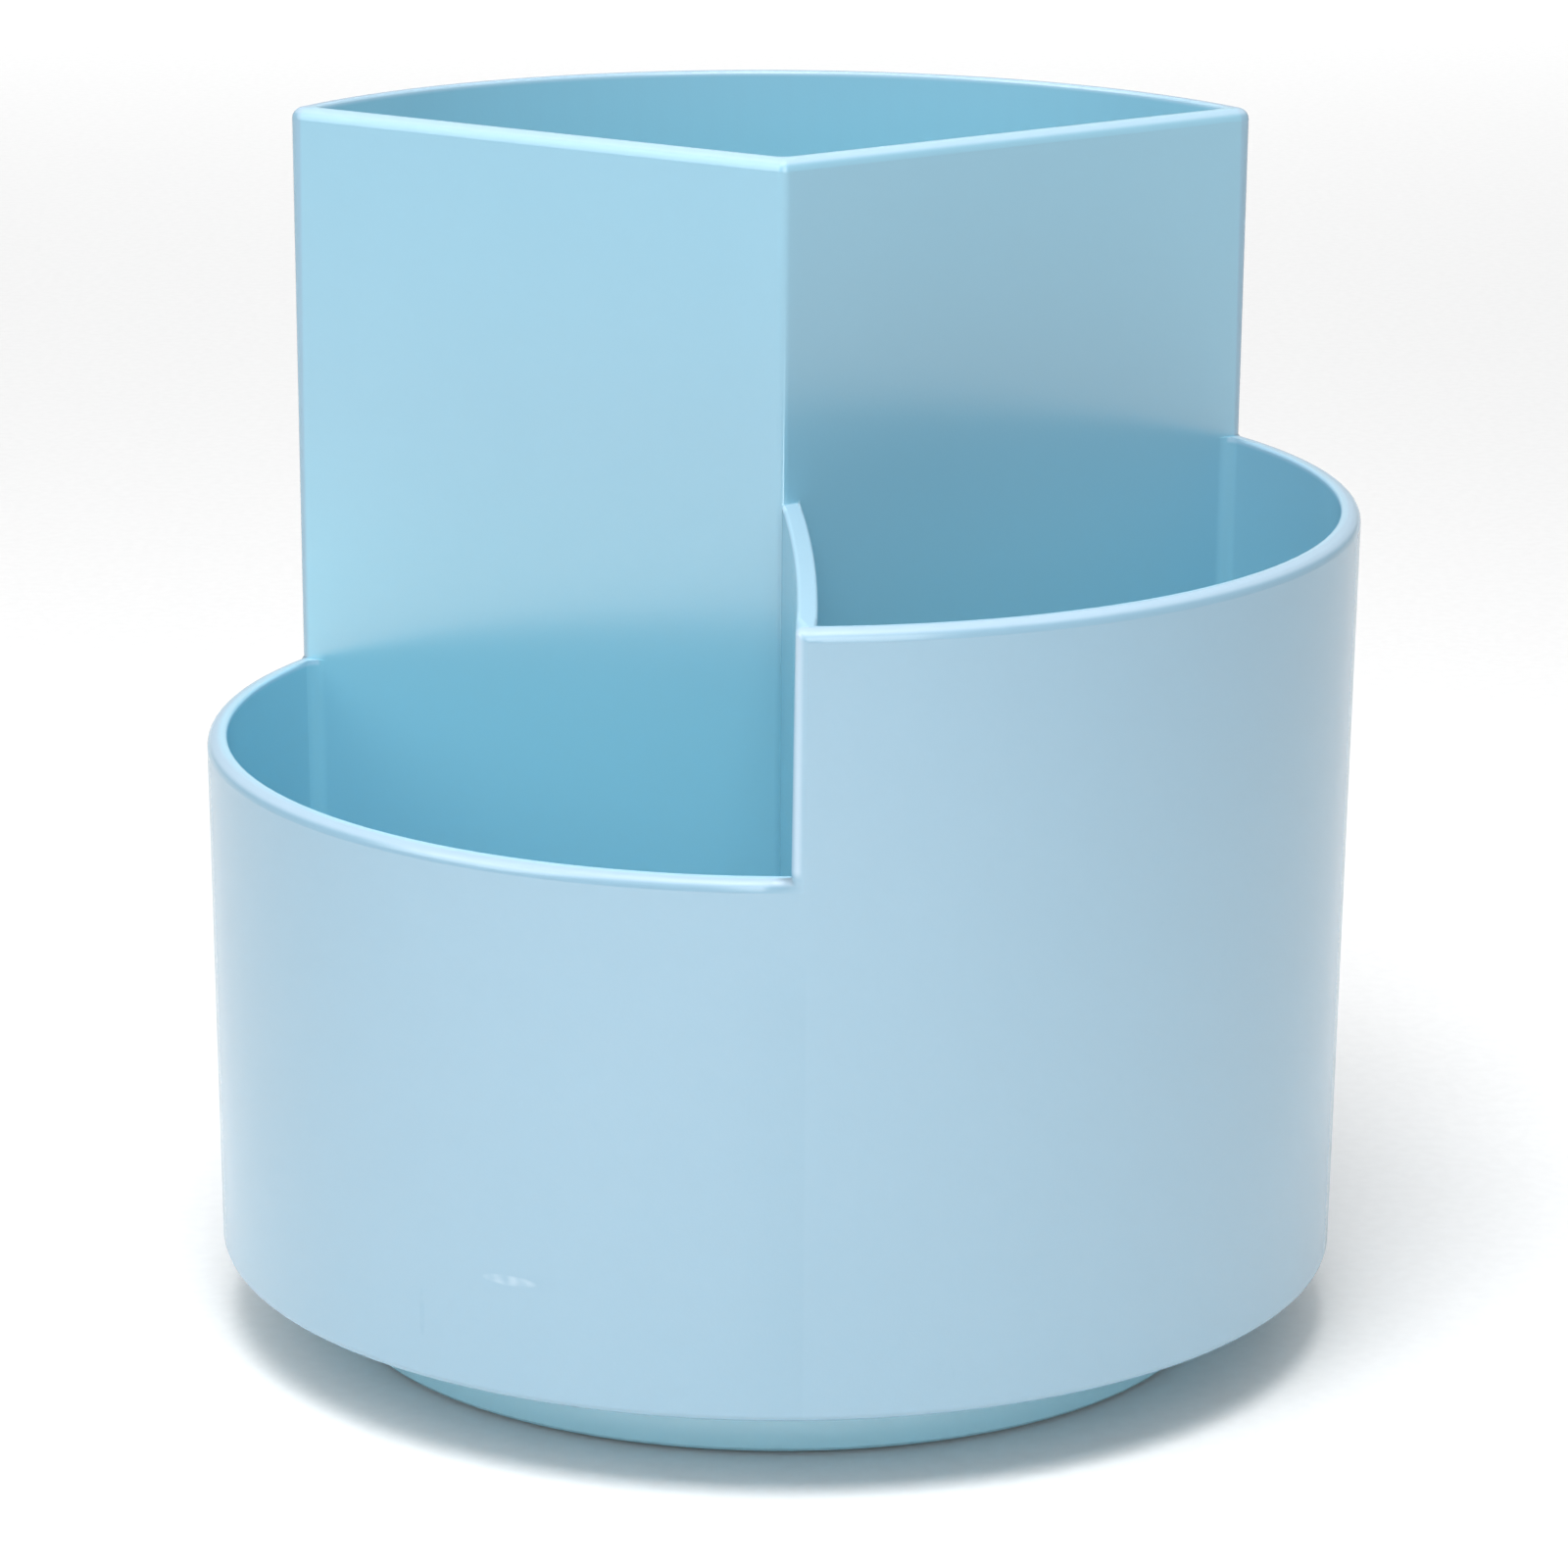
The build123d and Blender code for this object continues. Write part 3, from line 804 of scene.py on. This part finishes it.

# %% [markdown]
# Now the cup's colour is built up in layers, as a painter glazes: the brighter blue of the rooms, painted light,
# then the darker, greyer blue of the painted sheen and shade over it where the faces see the room, a little dark
# for the painted shade along the sink line and for the scratch, and last the pale colour of the painted highlight
# on the rims and of the smear. Each layer is a Mix node, and its mask, times a strength, is the factor.

# %% Colour of the cup
cup_blue = (0.22, 0.51, 0.64, 1)
cup_deep = (0.21, 0.50, 0.63, 1)
# The cup blues are the rooms' colour, painted light; the next two are the darker, greyer painted sheen and shade.
sheen_and_shade_blue = (0.205, 0.37, 0.485, 1)
sheen_and_shade_deep = (0.195, 0.36, 0.475, 1)
# Dark colour of the scratch and of the painted shade along the sink line.
scratch_dark_and_sink_shade = (0.10, 0.26, 0.36, 1)
# Pale colour of the smear and of the painted highlight on the rims.
pale_smear_and_highlight = (0.60, 0.70, 0.82, 1)
strength = {"sink": 0.07, "scratch": 0.12, "smear": 0.22, "rims": 0.34}
tone = sheen_and_shade_side(place).blend(drift.blend(cup_deep, cup_blue), drift.blend(sheen_and_shade_deep, sheen_and_shade_blue))
tone = (sink * strength["sink"] + scratch * strength["scratch"]).blend(tone, scratch_dark_and_sink_shade)
tone = (rubbed * strength["smear"] + rims(place) * strength["rims"]).blend(tone, pale_smear_and_highlight)
feed(shader, "Base Color", tone)
paint(cup, cup_plastic)

# %% [markdown]
# The solids of the small parts already have their right shapes, so they only get better materials: a milky bush and
# cage, polished balls, zinc plated screw and washer, and black rubber pads. Each could have its own recipe, but all of
# them are one colour with a little wear. One recipe with different numbers does, at a scale that suits each part.

# %% Small parts
wear_rough, tool_marks, mark_depth = 0.15, 6, 0.02 * MM


def small_part(name, colour, dark, roughness, metal, scale):
    """A plain material that wear makes a little darker and rougher in places."""
    material, shader, place = new_material(name, Metallic=metal)
    wear = place.noise(scale, 4.0)
    feed(shader, "Base Color", wear.ramp(0.3, 0.7).blend(dark, colour))
    feed(shader, "Roughness", roughness + wear * wear_rough)
    bumped(shader, place.noise(scale * tool_marks, 3.0), mark_depth)
    return material


finishes = {
    "bush_plastic": small_part("Bush plastic", (0.86, 0.85, 0.80, 1), (0.78, 0.76, 0.71, 1), 0.35, 0.0, 300.0),
    "ball_steel": small_part("Ball steel", (0.72, 0.72, 0.74, 1), (0.60, 0.60, 0.62, 1), 0.10, 1.0, 500.0),
    "zinc_steel": small_part("Zinc steel", (0.70, 0.71, 0.73, 1), (0.50, 0.51, 0.55, 1), 0.25, 1.0, 400.0),
    "pad_rubber": small_part("Pad rubber", (0.055, 0.055, 0.058, 1), (0.035, 0.035, 0.037, 1), 0.7, 0.0, 350.0),
}
changed = 0
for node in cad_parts.values():
    for slot in node.material_slots:
        named = slot.material.name.split(".")[0] if slot.material else ""
        if named in finishes:
            slot.material = finishes[named]
            changed += 1
print("small parts with a new finish:", changed)

# %% [markdown]
# ## Studio
# The cup stands on pale paper. A curved sweep is the usual way to hide the horizon, but here the camera looks down
# steeply enough that a large flat sheet fills its whole view. A faint noise of fibres keeps the paper from looking like
# a screen.

# %% Floor
sheet_half, paper_scale = 8, 600.0
paper_dark, paper_light = (0.83, 0.83, 0.83, 1), (0.85, 0.85, 0.85, 1)
bm = bmesh.new()
bmesh.ops.create_grid(bm, x_segments=1, y_segments=1, size=sheet_half)
floor_mesh = bpy.data.meshes.new("floor")
bm.to_mesh(floor_mesh)
bm.free()
floor = bpy.data.objects.new("floor", floor_mesh)
bpy.context.scene.collection.objects.link(floor)
paper, shader, place = new_material("Paper", Roughness=0.9)
fibres = place.noise(paper_scale, 2.0).ramp(0.3, 0.7)
feed(shader, "Base Color", fibres.blend(paper_dark, paper_light))
floor.data.materials.append(paper)
print("floor:", 2 * sheet_half, "m across")

# %% [markdown]
# The light is soft and comes mostly from the left and the front: a key light near on the left, a larger fill light
# high in front, a very wide sun that stands for a bright ceiling, and a white world. One lamp over the cup brightens
# its front, and one far behind lights the paper. They could be left out for a brighter world, but that flattens every
# shadow. Both would glare in satin plastic, so they are hidden from reflections.

# %% Lights
cup_middle = Vector((0, 0, 0.06))


def hung(name, light, place):
    """Hangs a light at a place and aims it at the middle of the cup."""
    lamp = bpy.data.objects.new(name, light)
    lamp.location = place
    lamp.rotation_euler = (cup_middle - Vector(place)).to_track_quat("-Z", "Y").to_euler()
    bpy.context.scene.collection.objects.link(lamp)
    return lamp


def softbox(name, place, size, power):
    """A square area light, hung and aimed."""
    light = bpy.data.lights.new(name, "AREA")
    light.size, light.energy = size, power
    return hung(name, light, place)


softbox("key", place=(-0.6, -0.25, 0.45), size=0.5, power=1.0)
softbox("fill", place=(0.15, -1.0, 0.55), size=0.7, power=2.2)
sky = bpy.data.lights.new("soft sky", "SUN")
sky.angle, sky.energy = radians(80), 0.4
hung("soft sky", sky, place=(-0.4, -0.4, 1.06))
softbox("over", place=(-0.04, -0.20, 0.48), size=0.25, power=2.2).visible_glossy = False
softbox("back", place=(0.0, 1.2, 0.4), size=1.6, power=10).visible_glossy = False
world = bpy.data.worlds.new("sky")
world.use_nodes = True
background = world.node_tree.nodes["Background"]
background.inputs["Color"].default_value = (1.0, 1.0, 1.0, 1)
background.inputs["Strength"].default_value = 0.50
bpy.context.scene.world = world
print("lights:", ", ".join(light.name for light in bpy.data.lights))

# %% [markdown]
# The camera was fitted to the photograph: its rims, walls and base fall on the same places. It stands a little over
# half a metre away, looks down by 15 degrees and turns slightly to the right. It could be aimed with a Track To
# constraint, but that allows no free roll, so its three axes are worked out and put into its matrix. The Standard view
# transform keeps white paper white, where the default would grey it.

# %% Camera
heading, pitch, roll = radians(2.2), radians(15.12), radians(0.39)
camera_place = Vector((-0.0217, -0.5797, 0.2123))
focal_length, sensor_width = 135.1, 36
lens = bpy.data.cameras.new("camera")
lens.lens, lens.sensor_width = focal_length, sensor_width
camera = bpy.data.objects.new("camera", lens)
bpy.context.scene.collection.objects.link(camera)
forward = Vector((sin(heading) * cos(pitch), cos(heading) * cos(pitch), -sin(pitch)))
right = Vector((cos(heading), -sin(heading), 0))
axes = Matrix((right, right.cross(forward), -forward)).transposed().to_4x4()
camera.matrix_world = Matrix.Translation(camera_place) @ axes @ Matrix.Rotation(roll, 4, "Z")
bpy.context.scene.camera = camera
bpy.context.scene.view_settings.view_transform = "Standard"
print("camera", round(camera_place.length, 3), "m from the base, focal length", focal_length, "mm")

# %% [markdown]
# A skin that grew past its solid would be a different object.
